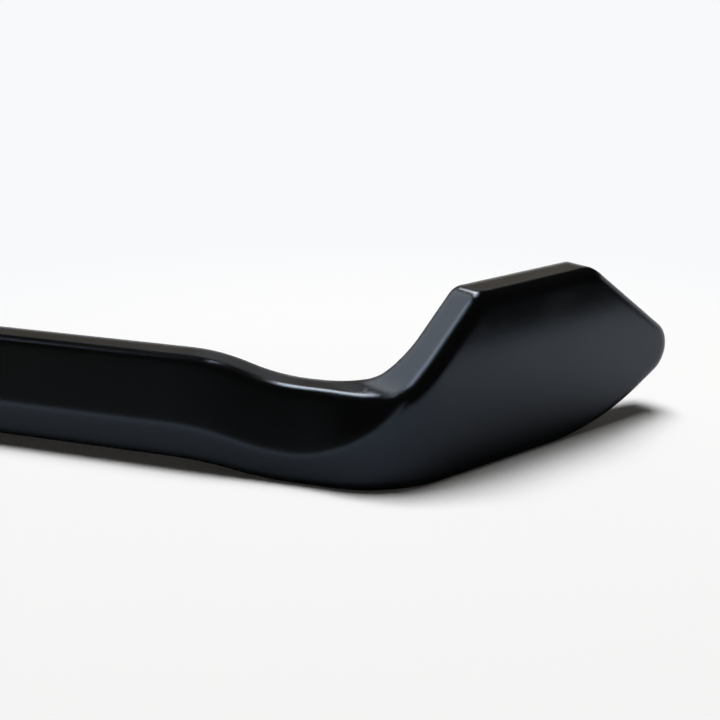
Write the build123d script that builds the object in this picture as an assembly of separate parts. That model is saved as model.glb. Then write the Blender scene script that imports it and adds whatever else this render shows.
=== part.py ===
from build123d import *
import os
from math import cos, radians, sin, tan

# Brake lever guard, right-hand side: one moulded piece that bolts to the end of the handlebar, runs
# forward past the tip of the lever and turns inboard in front of it.
# Sizes are in millimetres and angles in degrees. Heights are taken from the surface that it stands on.

# Bar-end boss
BOSS_DIAMETER = 22.0       # flush with the end of a 22 mm handlebar
BOSS_LENGTH = 22.0         # from the seat on the bar end to the outer face
BOSS_PROUD = 1.5           # the outer face stands this far outside the arm's outer wall
BOLT_BORE = 8.5            # clearance for an M8 bolt
HEAD_RECESS_DIAMETER = 13.8  # clearance for the head of an M8 cap screw
HEAD_RECESS_DEPTH = 9.0

# Arm
ARM_LEAN = 13.0            # the arm leans inboard from straight ahead
ARM_LENGTH = 104.5         # from the bolt axis to the sharp corner of the bend, along the outer wall
ARM_THICKNESS = 10.5       # at the foot
ARM_RAISE = 1.8            # its lower edge lies this far above the boss's underside
ARM_DROP = 2.3             # its top lies this far below the boss's top
ARM_BAND = 6.4             # upright band between the lower edge and the ridge
BEVEL_SETBACK = 4.4        # the face above the ridge leans back this far at the top

# Neck, where the arm dips towards the bend
DIP_LENGTH = 23.0
NECK_RUN = 0.5             # level run from the end of the dip to the throat, along the back wall
NECK_HEIGHT = 16.2
NECK_BAND = 5.4
RISE_END = 4.5             # the ridge has risen again this far before the sharp corner of the bend
BAND_RISE = 3.0            # how far the ridge rises there
EDGE_RISE = 1.1            # how far the front top edge rises there

# Bend
BEND_ANGLE = 58.4
BEND_OUTER_RADIUS = 20.0
BEND_INNER_RADIUS = 10.0

# Blade, with lengths taken along it from the sharp corner of the bend
BLADE_THICKNESS = 8.0
BLADE_HEIGHT = 32.2
THROAT_RADIUS = 10.0       # hollow between the neck and the rising edge of the blade
THROAT_START = -0.6
RISING_ANGLE = 43.8
TOP_END = 49.2             # where the level top edge ends
FALLING_ANGLE = 35.6       # slope from the top edge down to the tip
FOOT_END = 52.0            # where the foot lifts off the surface
FOOT_LIFT_ANGLE = 26.0
FOOT_RADIUS = 58.0
TIP_RADIUS = 5.5
TOP_RADIUS = 4.0           # where the rising edge meets the level top edge

# Edge radii
BLADE_EDGE = 2.1           # along the rising and top edges of the blade
ARM_EDGE = 1.2             # along the ridge and the arm's front top edge
FOOT_EDGE = 1.0            # along the lower edges and round the tip
BACK_EDGE = 0.8
BOSS_EDGE = 1.5            # around the boss's outer face
RIM_CHAMFER = 0.5          # at the mouth of the recess and round the seat
ROOT_RADIUS = 1.5          # where the arm grows out of the boss

BOSS_RADIUS = BOSS_DIAMETER / 2
ARM_TOP = BOSS_DIAMETER - ARM_DROP
REACH = 2 * (ARM_LENGTH + TOP_END)  # longer than anything it has to cut across
OVERRUN = 1.0              # a cutter runs this far past what it cuts

# The arm frame has x from the bolt axis to the bend along the arm's outer wall, y inward and z up.
ARM_SIDE = Plane(origin=(0, 0, 0), x_dir=(1, 0, 0), z_dir=(0, -1, 0))
BLADE_DIR = Vector(cos(radians(BEND_ANGLE)), sin(radians(BEND_ANGLE)), 0)
BLADE_OUT = Vector(sin(radians(BEND_ANGLE)), -cos(radians(BEND_ANGLE)), 0)
CORNER = Vector(ARM_LENGTH, 0, 0)
BLADE_SIDE = Plane(origin=CORNER, x_dir=BLADE_DIR, z_dir=BLADE_OUT)
THROAT_LINE = CORNER + BLADE_DIR * THROAT_START
THROAT_BACK = THROAT_LINE + BLADE_OUT * ((ARM_THICKNESS - THROAT_LINE.Y) / BLADE_OUT.Y)
NECK_X = THROAT_BACK.X - NECK_RUN
BAR_DIR = Vector(sin(radians(ARM_LEAN)), cos(radians(ARM_LEAN)), 0)
BOSS_FACE = Plane(origin=Vector(0, 0, BOSS_RADIUS) - BAR_DIR * BOSS_PROUD, z_dir=BAR_DIR)


def dip(high, low):
    """Two tangent arcs that carry an edge of the arm from its own height down to the neck's."""
    start = Vector(NECK_X - DIP_LENGTH, high)
    end = Vector(NECK_X, low)
    first = TangentArc(start, (start + end) / 2, tangent=(1, 0))
    second = TangentArc((start + end) / 2, end, tangent=first % 1)
    return first, second


def arm():
    """Straight arm from the bolt axis to the end of its dip."""
    top = dip(ARM_TOP, NECK_HEIGHT)
    bottom = dip(ARM_RAISE, 0)
    outline = [
        Line((0, ARM_RAISE), (0, ARM_TOP)),
        Line((0, ARM_TOP), top[0] @ 0),
        *top,
        Line((NECK_X, NECK_HEIGHT), (NECK_X, 0)),
        *bottom,
        Line(bottom[0] @ 0, (0, ARM_RAISE)),
    ]
    return extrude(ARM_SIDE * make_face(outline), amount=-ARM_THICKNESS)


def blade_outline():
    """Outline of the bend and blade, seen square to the blade."""
    rise = tan(radians(RISING_ANGLE))
    fall = tan(radians(FALLING_ANGLE))
    lift = tan(radians(FOOT_LIFT_ANGLE))
    throat_x = THROAT_START + THROAT_RADIUS * tan(radians(RISING_ANGLE / 2))
    top_start = throat_x + (BLADE_HEIGHT - NECK_HEIGHT) / rise
    tip_x = (BLADE_HEIGHT + fall * TOP_END + lift * FOOT_END) / (fall + lift)
    tip_z = lift * (tip_x - FOOT_END)
    corners = {
        (-REACH, 0): 0,
        (FOOT_END, 0): FOOT_RADIUS,
        (tip_x, tip_z): TIP_RADIUS,
        (TOP_END, BLADE_HEIGHT): 0,
        (top_start, BLADE_HEIGHT): TOP_RADIUS,
        (throat_x, NECK_HEIGHT): THROAT_RADIUS,
        (-REACH, NECK_HEIGHT): 0,
    }
    return make_face(FilletPolyline(*corners, radius=list(corners.values()), close=True))


def bend_plan():
    """Plan of the bend and blade, from the end of the dip to past the tip."""
    far = CORNER + BLADE_DIR * REACH
    inner_far = far - BLADE_OUT * BLADE_THICKNESS
    back = CORNER - BLADE_OUT * BLADE_THICKNESS
    inner_corner = back + BLADE_DIR * ((ARM_THICKNESS - back.Y) / BLADE_DIR.Y)
    corners = {
        (NECK_X, 0): 0,
        (CORNER.X, CORNER.Y): BEND_OUTER_RADIUS,
        (far.X, far.Y): 0,
        (inner_far.X, inner_far.Y): 0,
        (inner_corner.X, inner_corner.Y): BEND_INNER_RADIUS,
        (NECK_X, ARM_THICKNESS): 0,
    }
    return make_face(FilletPolyline(*corners, radius=list(corners.values()), close=True))


def bend_and_blade():
    """The wall that turns the bend, cut to the blade's outline."""
    wall = extrude(bend_plan(), amount=BLADE_HEIGHT)
    return wall & extrude(BLADE_SIDE * blade_outline(), amount=REACH, both=True)


def bevel_profile(depth):
    """What lies above the leaning face, on an upright plane this far inside the arm's outer wall."""
    share = depth / BEVEL_SETBACK
    arm_ridge = ARM_RAISE + ARM_BAND
    high = arm_ridge + share * (ARM_TOP - arm_ridge)
    low = NECK_BAND + share * (NECK_HEIGHT - NECK_BAND)
    bend = low + BAND_RISE + share * (EDGE_RISE - BAND_RISE)
    fall = dip(high, low)
    rise_start = fall[1] @ 1
    rise_end = Vector(ARM_LENGTH - RISE_END, bend)
    middle = (rise_start + rise_end) / 2
    rise_1 = TangentArc(rise_start, middle, tangent=(1, 0))
    rise_2 = TangentArc(middle, rise_end, tangent=rise_1 % 1)
    outline = [
        Line((0, high), fall[0] @ 0),
        *fall,
        rise_1,
        rise_2,
        Line(rise_end, (REACH, bend)),
        Line((REACH, bend), (REACH, REACH)),
        Line((REACH, REACH), (0, REACH)),
        Line((0, REACH), (0, high)),
    ]
    return ARM_SIDE.offset(-depth) * make_face(outline)


def bevel_cut():
    """What the leaning face takes off the arm above the ridge. It runs out at the bend."""
    return loft([bevel_profile(-OVERRUN), bevel_profile(BEVEL_SETBACK + OVERRUN)], ruled=True)


def round_edge(body, point, radius):
    """Round the edge that passes nearest to a point, and the edges that run on from it smoothly."""
    return fillet(body.edges().sort_by_distance(point)[0], radius)


def arm_and_blade():
    """Arm, bend and blade with their edges rounded."""
    along = ARM_LENGTH / 3
    body = arm() + bend_and_blade() - bevel_cut()
    body = round_edge(body, BLADE_SIDE.from_local_coords((TOP_END / 2, BLADE_HEIGHT, 0)), BLADE_EDGE)
    body = round_edge(body, (along, 0, ARM_RAISE + ARM_BAND), ARM_EDGE)
    body = round_edge(body, (along, 0, ARM_RAISE), FOOT_EDGE)
    return round_edge(body, (along, ARM_THICKNESS, ARM_RAISE), BACK_EDGE)


def boss():
    """Boss on the bolt axis, still without its hole."""
    body = extrude(BOSS_FACE * Circle(BOSS_RADIUS), amount=BOSS_LENGTH)
    rims = body.edges().filter_by(GeomType.CIRCLE).sort_by(Axis(BOSS_FACE.origin, BAR_DIR))
    body = fillet(rims[0], BOSS_EDGE)
    rims = body.edges().filter_by(GeomType.CIRCLE).sort_by(Axis(BOSS_FACE.origin, BAR_DIR))
    return chamfer(rims[-1], RIM_CHAMFER)


def bolt_hole():
    """Bore for the bolt, with a recess for its head in the outer face."""
    bore = BOLT_BORE / 2
    recess = HEAD_RECESS_DIAMETER / 2
    profile = Polyline(
        (0, 0),
        (recess + RIM_CHAMFER, 0),
        (recess, RIM_CHAMFER),
        (recess, HEAD_RECESS_DEPTH),
        (bore, HEAD_RECESS_DEPTH),
        (bore, BOSS_LENGTH),
        (0, BOSS_LENGTH),
        close=True,
    )
    section = Plane(origin=BOSS_FACE.origin, x_dir=(0, 0, 1), z_dir=BAR_DIR.cross(Vector(0, 0, -1)))
    return revolve(section * make_face(profile), axis=Axis(BOSS_FACE.origin, BAR_DIR))


def whole():
    """The moulded piece in the arm frame."""
    front = arm_and_blade()
    hub = boss()
    body = front + hub
    body = fillet(new_edges(front, hub, combined=body), ROOT_RADIUS)
    return body - bolt_hole()


# The part's own frame has its origin where the bolt axis meets the seat, x inboard along that axis and z up.
SEAT = BOSS_FACE.origin + BAR_DIR * BOSS_LENGTH
guard = Rot(0, 0, ARM_LEAN - 90) * Pos(*(-SEAT)) * whole()
os.makedirs("parts", exist_ok=True)
export_step(guard, "parts/lever_guard.step")
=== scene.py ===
# %% [markdown]
# # A moulded brake lever guard
# The guard is one piece of black plastic. A boss bolts to the end of a handlebar, a bevelled arm runs
# forward from it, dips, turns inboard and widens into a fin-shaped blade in front of the lever.
# The solid comes from the CAD frame and is used as it is, so this lesson is about what makes a dark,
# smooth piece read well: where the camera stands, what the surface mirrors, and what its skin is like.

# %% Load the frame
from math import cos, pi, radians, sin

import bpy
from mathutils import Matrix, Quaternion, Vector


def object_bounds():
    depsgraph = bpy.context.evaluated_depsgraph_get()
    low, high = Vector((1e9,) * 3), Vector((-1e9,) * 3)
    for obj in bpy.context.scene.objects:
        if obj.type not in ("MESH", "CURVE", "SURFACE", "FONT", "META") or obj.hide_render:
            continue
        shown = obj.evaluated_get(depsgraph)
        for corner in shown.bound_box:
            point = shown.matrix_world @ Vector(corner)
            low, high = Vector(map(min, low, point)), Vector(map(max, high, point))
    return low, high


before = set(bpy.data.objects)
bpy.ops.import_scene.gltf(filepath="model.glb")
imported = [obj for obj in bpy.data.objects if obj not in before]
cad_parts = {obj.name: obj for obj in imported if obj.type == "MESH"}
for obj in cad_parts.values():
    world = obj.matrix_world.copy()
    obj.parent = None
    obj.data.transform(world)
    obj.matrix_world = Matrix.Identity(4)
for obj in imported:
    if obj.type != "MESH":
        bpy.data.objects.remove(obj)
cad_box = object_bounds()
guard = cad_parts["lever_guard"]
print("guard:", len(guard.data.polygons), "triangles, box", cad_box)

# %% [markdown]
# ## A studio laid out as the photographer sees it
# The guard keeps the frame of the handlebar, which is turned away from the camera. Lamps and camera could
# be placed in that frame too, but they are easier to think of as so far to the right, away and up. One
# matrix turns these three lengths into the guard's frame. Its origin is the point of the table right
# under the bend. All lengths are in metres.

# %% Studio frame
TABLE_Z = cad_box[0][2]
BEND_ON_TABLE = Vector((0.0063, -0.1012, TABLE_Z))
CAMERA_TURN = radians(-58.0)
STUDIO = Matrix.Translation(BEND_ON_TABLE) @ Matrix.Rotation(CAMERA_TURN, 4, "Z")


def put(obj, place):
    """Place an object by its lengths to the right, away and up."""
    obj.location = STUDIO @ Vector(place)


print("table at z = %.4f m" % TABLE_Z)

# %% [markdown]
# ## The camera
# A 65 mm lens on a 36 mm wide sensor, close to the guard and looking 18 degrees down. From this near, the
# blade shrinks visibly towards its tip. A longer lens from further off would lose that.

# %% Camera
LENS_MM = 65.0
SENSOR_MM = 36.0
NEAREST_SEEN = 0.01
CAMERA_PLACE = (-0.0069, -0.2050, 0.0902)
CAMERA_PITCH = radians(18.0)
camera_data = bpy.data.cameras.new("camera")
camera_data.lens = LENS_MM
camera_data.sensor_width = SENSOR_MM
camera_data.clip_start = NEAREST_SEEN
camera = bpy.data.objects.new("camera", camera_data)
bpy.context.scene.collection.objects.link(camera)
put(camera, CAMERA_PLACE)
camera.rotation_euler = (radians(90.0) - CAMERA_PITCH, 0.0, CAMERA_TURN)
bpy.context.scene.camera = camera
print("camera at", tuple(round(v, 3) for v in camera.location))

# %% [markdown]
# ## The paper
# The guard stands on plain white paper. A curved backdrop would do as well, but one large flat square is
# enough, because the camera looks down and does not see where it ends. It lies in the studio's frame, so
# a distance from the bend is simply the length of its own object coordinates.

# %% Paper sheet
PAPER_HALF = 3.0


def flat_sheet(name, corners):
    """A sheet between four corners, which are given in the studio's frame."""
    mesh = bpy.data.meshes.new(name)
    mesh.from_pydata(corners, [], [(0, 1, 2, 3)])
    flat = bpy.data.objects.new(name, mesh)
    flat.matrix_world = STUDIO
    bpy.context.scene.collection.objects.link(flat)
    return flat


signs = ((-1, -1), (1, -1), (1, 1), (-1, 1))
sheet = flat_sheet("paper_sheet", [(right * PAPER_HALF, away * PAPER_HALF, 0.0) for right, away in signs])
print("paper: %.1f m square" % (2 * PAPER_HALF))

# %% [markdown]
# ## Paper that stays white far away
# Near the guard the paper is lit by the lamps and takes the guard's shadow. A lamp fades with distance,
# though, and the background of a product picture does not. More lamps would even it out, but they would
# light the guard as well. So the paper passes over into plain white away from the guard, and only for
# rays that look at it: camera, glossy and transmission rays. Diffuse rays still meet ordinary paper.

# %% Far white mask
FADE_START = 0.10
FADE_END = 0.20
LOOKING_RAYS = ("Is Camera Ray", "Is Glossy Ray", "Is Transmission Ray")


def any_of(tree, sockets):
    """The largest of several mask sockets."""
    value = sockets[0]
    for socket in sockets[1:]:
        larger = tree.nodes.new("ShaderNodeMath")
        larger.operation = "MAXIMUM"
        tree.links.new(value, larger.inputs[0])
        tree.links.new(socket, larger.inputs[1])
        value = larger.outputs["Value"]
    return value


def far_and_seen(tree, path):
    """0 near the guard, and far from it 1 for the rays that look at the paper."""
    nodes = tree.nodes
    link = tree.links.new
    coords = nodes.new("ShaderNodeTexCoord")
    distance = nodes.new("ShaderNodeVectorMath")
    distance.operation = "LENGTH"
    fade = nodes.new("ShaderNodeMapRange")
    fade.interpolation_type = "SMOOTHSTEP"
    fade.inputs["From Min"].default_value = FADE_START
    fade.inputs["From Max"].default_value = FADE_END
    both = nodes.new("ShaderNodeMath")
    both.operation = "MULTIPLY"
    link(coords.outputs["Object"], distance.inputs[0])
    link(distance.outputs["Value"], fade.inputs["Value"])
    link(fade.outputs["Result"], both.inputs[0])
    link(any_of(tree, [path.outputs[name] for name in LOOKING_RAYS]), both.inputs[1])
    return both.outputs["Value"]


print("paper turns plain white from", FADE_START, "to", FADE_END, "m")

# %% [markdown]
# ## A painted shade for the reflections
# In the photograph the guard darkens towards its foot, more than the shadow on this paper makes it. The
# likely cause is the faint outer part of the shadow, which hardly shows on bright paper and does show
# where black plastic mirrors it. A darker colour at the guard's foot would stay there under any light, so a
# painted shade goes into the paper's colour instead, near the guard and for glossy rays alone. Ambient
# occlusion gives the shade.

# %% Mirrored shade
SHADE_REACH = 0.05
SHADE_POWER = 3.5
SHADE_SAMPLES = 8


def mirrored_shade(tree, path):
    """1 for most rays, and for glossy rays a shade that deepens towards the guard."""
    nodes = tree.nodes
    link = tree.links.new
    # painted shade: ambient occlusion darkens the paper's colour near the guard, for glossy rays only
    near = nodes.new("ShaderNodeAmbientOcclusion")
    near.samples = SHADE_SAMPLES
    near.inputs["Distance"].default_value = SHADE_REACH
    deepen = nodes.new("ShaderNodeMath")
    deepen.operation = "POWER"
    deepen.inputs[1].default_value = SHADE_POWER
    choose = nodes.new("ShaderNodeMix")
    choose.inputs["A"].default_value = 1.0
    link(near.outputs["AO"], deepen.inputs[0])
    link(path.outputs["Is Glossy Ray"], choose.inputs["Factor"])
    link(deepen.outputs["Value"], choose.inputs["B"])
    return choose.outputs["Result"]


print("mirrored shade reaches", SHADE_REACH, "m")

# %% [markdown]
# ## The paper's material
# Matt paper takes the light and the shadow, and an emission of the backdrop's colour takes over where the
# far mask says so. Its strength stays at 1, which shows the colour as it is written. The paper's own
# shader could emit as well, but it would add the lamps' light on top, so two shaders are mixed.

# %% Paper material
PAPER = (0.94, 0.94, 0.94, 1.0)
# the dark end of the painted shade in the paper's colour
PAPER_SHADED = (0.0, 0.0, 0.0, 1.0)
PAPER_ROUGHNESS = 0.9
PAPER_SHEEN = 0.1
BACKDROP = (0.935, 0.945, 0.96, 1.0)


def make_paper():
    material = bpy.data.materials.new("white_paper")
    material.use_nodes = True
    tree = material.node_tree
    nodes = tree.nodes
    link = tree.links.new
    path = nodes.new("ShaderNodeLightPath")
    # the paper's colour with the painted shade mixed in: darker near the guard for glossy rays
    shaded_paper_colour = nodes.new("ShaderNodeMix")
    shaded_paper_colour.data_type = "RGBA"
    shaded_paper_colour.inputs["A"].default_value = PAPER_SHADED
    shaded_paper_colour.inputs["B"].default_value = PAPER
    lit = nodes["Principled BSDF"]
    lit.inputs["Roughness"].default_value = PAPER_ROUGHNESS
    lit.inputs["Specular IOR Level"].default_value = PAPER_SHEEN
    white = nodes.new("ShaderNodeEmission")
    white.inputs["Color"].default_value = BACKDROP
    mix = nodes.new("ShaderNodeMixShader")
    link(mirrored_shade(tree, path), shaded_paper_colour.inputs["Factor"])
    link(shaded_paper_colour.outputs["Result"], lit.inputs["Base Color"])
    link(far_and_seen(tree, path), mix.inputs["Fac"])
    link(lit.outputs["BSDF"], mix.inputs[1])
    link(white.outputs["Emission"], mix.inputs[2])
    link(mix.outputs["Shader"], nodes["Material Output"].inputs["Surface"])
    return material


sheet.data.materials.append(make_paper())
print("paper:", sheet.data.materials[0].name)

# %% [markdown]
# ## The room
# Beyond the paper there is a pale haze along the horizon, then a dim warm wall, and a dark ceiling above.
# That matters more than it seems: the arm's leaning face and its top mirror the room a little above the
# horizon, and a white room would turn the black plastic grey. Walls could be modelled, but one colour ramp
# over the height of the looking direction does it. The ramp's positions are sines of angles above the
# horizon, because the direction is a unit vector.

# %% Room
HAZE_TOP = 4.0
WALL_FROM = 10.0
WALL_TO = 18.5
DARK_FROM = 22.0
WALL = (0.185, 0.163, 0.128, 1.0)
DARK = (0.004, 0.004, 0.004, 1.0)


def make_room():
    world = bpy.data.worlds.new("dim_room")
    world.use_nodes = True
    tree = world.node_tree
    nodes = tree.nodes
    link = tree.links.new
    coords = nodes.new("ShaderNodeTexCoord")
    split = nodes.new("ShaderNodeSeparateXYZ")
    ramp = nodes.new("ShaderNodeValToRGB")
    stops = ramp.color_ramp.elements
    stops[0].position = sin(radians(HAZE_TOP))
    stops[0].color = BACKDROP
    stops[1].position = sin(radians(DARK_FROM))
    stops[1].color = DARK
    stops.new(sin(radians(WALL_FROM))).color = WALL
    stops.new(sin(radians(WALL_TO))).color = WALL
    link(coords.outputs["Generated"], split.inputs["Vector"])
    link(split.outputs["Z"], ramp.inputs["Fac"])
    link(ramp.outputs["Color"], nodes["Background"].inputs["Color"])
    return world


bpy.context.scene.world = make_room()
print("room: pale up to %g degrees, dark above %g" % (HAZE_TOP, DARK_FROM))

# %% [markdown]
# ## The key
# One square soft box hangs almost overhead, a little behind the guard. It whitens the paper and drops
# the short soft shadow to the front. A lamp's brightness is written here as the radiance of its face,
# and the helper turns it into watts. The key is left out of reflections, because the highlights on a
# glossy part are easier to shape with lamps of their own.

# %% Key
def soft_box(name, place, size, radiance, roll=0.0):
    """A rectangular area lamp that faces the bend, with a roll in degrees about its own axis."""
    width, height = size
    lamp = bpy.data.lights.new(name, "AREA")
    lamp.shape = "RECTANGLE"
    lamp.size = width
    lamp.size_y = height
    lamp.energy = pi * radiance * width * height
    box = bpy.data.objects.new(name, lamp)
    bpy.context.scene.collection.objects.link(box)
    put(box, place)
    facing = (BEND_ON_TABLE - box.location).to_track_quat("-Z", "Y")
    box.rotation_euler = (facing @ Quaternion((0, 0, 1), radians(roll))).to_euler()
    return box


key = soft_box("key_box", place=(-0.01, 0.37, 1.36), size=(0.62, 0.62), radiance=17.4)
key.visible_glossy = False
print("key: %.1f W" % key.data.energy)

# %% [markdown]
# ## Lamps that only show as reflections
# What the eye reads on black plastic is what it mirrors, so each of these lamps is placed for a surface
# that mirrors it. The strip shows in the hollow of the throat and in the blade's rising edge, and follows
# the path that the mirrored view takes as that surface curves. The rim box draws the line along the
# front of the rising edge, the edge box the highlight on the neck's front edge, and the dim back box
# lifts the top of the dip. One big lamp would blur these into each other. They light no paper, so the
# guard keeps its one clean shadow.

# %% Mirrored lamps
mirrored = [
    soft_box("strip_box", place=(-0.44, 0.36, 0.55), size=(0.66, 0.36), radiance=2.3, roll=32.0),
    soft_box("rim_box", place=(-0.49, 0.07, 0.63), size=(0.26, 0.26), radiance=4.2),
    soft_box("edge_box", place=(-0.17, 0.53, 0.83), size=(0.16, 0.66), radiance=12.0, roll=-29.0),
    soft_box("back_box", place=(-0.12, 0.88, 0.46), size=(0.72, 0.20), radiance=0.35),
]
for box in mirrored:
    box.visible_diffuse = False
print("mirrored lamps:", [box.name for box in mirrored])

# %% [markdown]
# ## A dark card
# The blade's face mirrors the paper in front of it. A dark card stands there, parallel to the blade, and
# gives the face the dark strip under its top edge that shows how flat and smooth it is. A strip painted
# on the blade would not move with the eye. The card is kept out of everything but reflections, so it
# throws no shadow and no camera ever sees it.

# %% Dark card
FELT = (0.003, 0.003, 0.003, 1.0)
BLADE_TURN = radians(39.4)
CARD_MIDDLE = Vector((0.099, 0.010, 0.0))
CARD_HALF = 0.10
CARD_HEIGHT = 0.15


def level_direction(turn):
    """A level direction in the studio's frame, turned so far from the right towards away."""
    return Vector((cos(turn), sin(turn), 0.0))


def make_felt():
    material = bpy.data.materials.new("black_card")
    material.use_nodes = True
    bsdf = material.node_tree.nodes["Principled BSDF"]
    bsdf.inputs["Base Color"].default_value = FELT
    bsdf.inputs["Roughness"].default_value = 1.0
    bsdf.inputs["Specular IOR Level"].default_value = 0.0
    return material


def make_card(name, start, along, across, felt):
    """A black sheet over two directions from a corner, which only reflections see."""
    card = flat_sheet(name, [start, start + along, start + along + across, start + across])
    card.data.materials.append(felt)
    card.visible_camera = False
    card.visible_diffuse = False
    card.visible_shadow = False


felt = make_felt()
card_half = level_direction(BLADE_TURN) * CARD_HALF
card_rise = Vector((0.0, 0.0, CARD_HEIGHT))
make_card("dark_card", CARD_MIDDLE - card_half, 2 * card_half, card_rise, felt)
print("card: %.2f by %.2f m" % (2 * CARD_HALF, CARD_HEIGHT))

# %% [markdown]
# ## A dark flag
# In the photograph the arm's front top edge has hardly any highlight before the neck, but the lamps above
# would draw a bright line along all of it. They could be moved, and would then miss the surfaces that
# they are for. So a narrow flag of the same felt lies two centimetres above the straight part of the arm
# and hides the lamps from that edge. It starts about where the arm begins to dip, and runs back from there.

# %% Dark flag
ARM_TURN = radians(161.0)
FLAG_START = Vector((-0.0368, 0.0203, 0.039))
FLAG_LENGTH = 0.12
FLAG_TO_FRONT = 0.012
FLAG_TO_BACK = 0.024

flag_along = level_direction(ARM_TURN) * FLAG_LENGTH
to_back = level_direction(ARM_TURN - radians(90.0))
flag_across = to_back * (FLAG_TO_FRONT + FLAG_TO_BACK)
make_card("dark_flag", FLAG_START - to_back * FLAG_TO_FRONT, flag_along, flag_across, felt)
print("flag: %.3f by %.3f m" % (FLAG_LENGTH, FLAG_TO_FRONT + FLAG_TO_BACK))

# %% [markdown]
# ## The mould's grain
# The photograph shows a faint speckle on the plastic, as the steel of a mould may leave it. At less than
# half a millimetre it is far too fine to model, so a noise gives it as a height for a bump. A second,
# slow noise lets the sheen drift over a centimetre or two, so that no face is perfectly even. Both are
# built as a node group with named inputs, which any other moulded piece could use with its own values.

# %% Grain group
GRAIN_DETAIL = 3.0
GRAIN_ROUGHNESS = 0.65
DRIFT_DETAIL = 4.0


def make_grain_group():
    group = bpy.data.node_groups.new("moulded_grain", "ShaderNodeTree")
    face = group.interface
    face.new_socket("Coordinates", in_out="INPUT", socket_type="NodeSocketVector")
    face.new_socket("Grain Scale", in_out="INPUT", socket_type="NodeSocketFloat")
    face.new_socket("Drift Scale", in_out="INPUT", socket_type="NodeSocketFloat")
    face.new_socket("Height", in_out="OUTPUT", socket_type="NodeSocketFloat")
    face.new_socket("Drift", in_out="OUTPUT", socket_type="NodeSocketFloat")
    nodes = group.nodes
    link = group.links.new
    given = nodes.new("NodeGroupInput")
    made = nodes.new("NodeGroupOutput")
    grain = nodes.new("ShaderNodeTexNoise")
    grain.inputs["Detail"].default_value = GRAIN_DETAIL
    grain.inputs["Roughness"].default_value = GRAIN_ROUGHNESS
    drift = nodes.new("ShaderNodeTexNoise")
    drift.inputs["Detail"].default_value = DRIFT_DETAIL
    for texture, scale in ((grain, "Grain Scale"), (drift, "Drift Scale")):
        link(given.outputs["Coordinates"], texture.inputs["Vector"])
        link(given.outputs[scale], texture.inputs["Scale"])
    link(grain.outputs["Fac"], made.inputs["Height"])
    link(drift.outputs["Fac"], made.inputs["Drift"])
    return group


grain_group = make_grain_group()
print("group:", grain_group.name)

# %% [markdown]
# ## The plastic
# The darkest places of the photograph are almost black, so the base colour is close to zero and nearly
# all the light comes off the surface. The sheen is a little weaker than the default and tinted blue, as
# the highlights in the photograph are. Roughness and colour follow the slow drift, and the grain goes
# into a bump. The photograph's edge highlights are also broader than the solid's roundings give. The
# solid stays as it is, so a bevel node blends the normals within about two millimetres of each edge.

# %% Plastic
BLACK = (0.0022, 0.0023, 0.0026, 1.0)
BLACK_DULL = (0.0040, 0.0042, 0.0046, 1.0)
SHEEN = 0.43
SHEEN_TINT = (0.60, 0.76, 1.0, 1.0)
ROUGH_LOW = 0.11
ROUGH_HIGH = 0.18
DRIFT_LOW = 0.3
DRIFT_HIGH = 0.7
GRAIN_PER_METRE = 2600.0
DRIFT_PER_METRE = 60.0
GRAIN_DEPTH = 0.000012
EDGE_SOFTNESS = 0.0022
EDGE_SAMPLES = 8


def make_plastic():
    material = bpy.data.materials.new("moulded_black_plastic")
    material.use_nodes = True
    tree = material.node_tree
    nodes = tree.nodes
    link = tree.links.new
    bsdf = nodes["Principled BSDF"]
    bsdf.inputs["Specular IOR Level"].default_value = SHEEN
    bsdf.inputs["Specular Tint"].default_value = SHEEN_TINT
    coords = nodes.new("ShaderNodeTexCoord")
    skin = nodes.new("ShaderNodeGroup")
    skin.node_tree = grain_group
    skin.inputs["Grain Scale"].default_value = GRAIN_PER_METRE
    skin.inputs["Drift Scale"].default_value = DRIFT_PER_METRE
    colour = nodes.new("ShaderNodeMix")
    colour.data_type = "RGBA"
    colour.inputs["A"].default_value = BLACK
    colour.inputs["B"].default_value = BLACK_DULL
    rough = nodes.new("ShaderNodeMapRange")
    rough.inputs["From Min"].default_value = DRIFT_LOW
    rough.inputs["From Max"].default_value = DRIFT_HIGH
    rough.inputs["To Min"].default_value = ROUGH_LOW
    rough.inputs["To Max"].default_value = ROUGH_HIGH
    soft_edge = nodes.new("ShaderNodeBevel")
    soft_edge.samples = EDGE_SAMPLES
    soft_edge.inputs["Radius"].default_value = EDGE_SOFTNESS
    bump = nodes.new("ShaderNodeBump")
    bump.inputs["Distance"].default_value = GRAIN_DEPTH
    link(coords.outputs["Object"], skin.inputs["Coordinates"])
    link(skin.outputs["Drift"], colour.inputs["Factor"])
    link(skin.outputs["Drift"], rough.inputs["Value"])
    link(skin.outputs["Height"], bump.inputs["Height"])
    link(soft_edge.outputs["Normal"], bump.inputs["Normal"])
    link(colour.outputs["Result"], bsdf.inputs["Base Color"])
    link(rough.outputs["Result"], bsdf.inputs["Roughness"])
    link(bump.outputs["Normal"], bsdf.inputs["Normal"])
    return material


plastic = make_plastic()
for slot in guard.material_slots:
    slot.material = plastic
print("plastic on", len(guard.material_slots), "slot of", guard.name)

# %% [markdown]
# ## Finish
# The plain Standard view keeps colours as they are written.

# %% Finish
bpy.context.scene.view_settings.view_transform = "Standard"
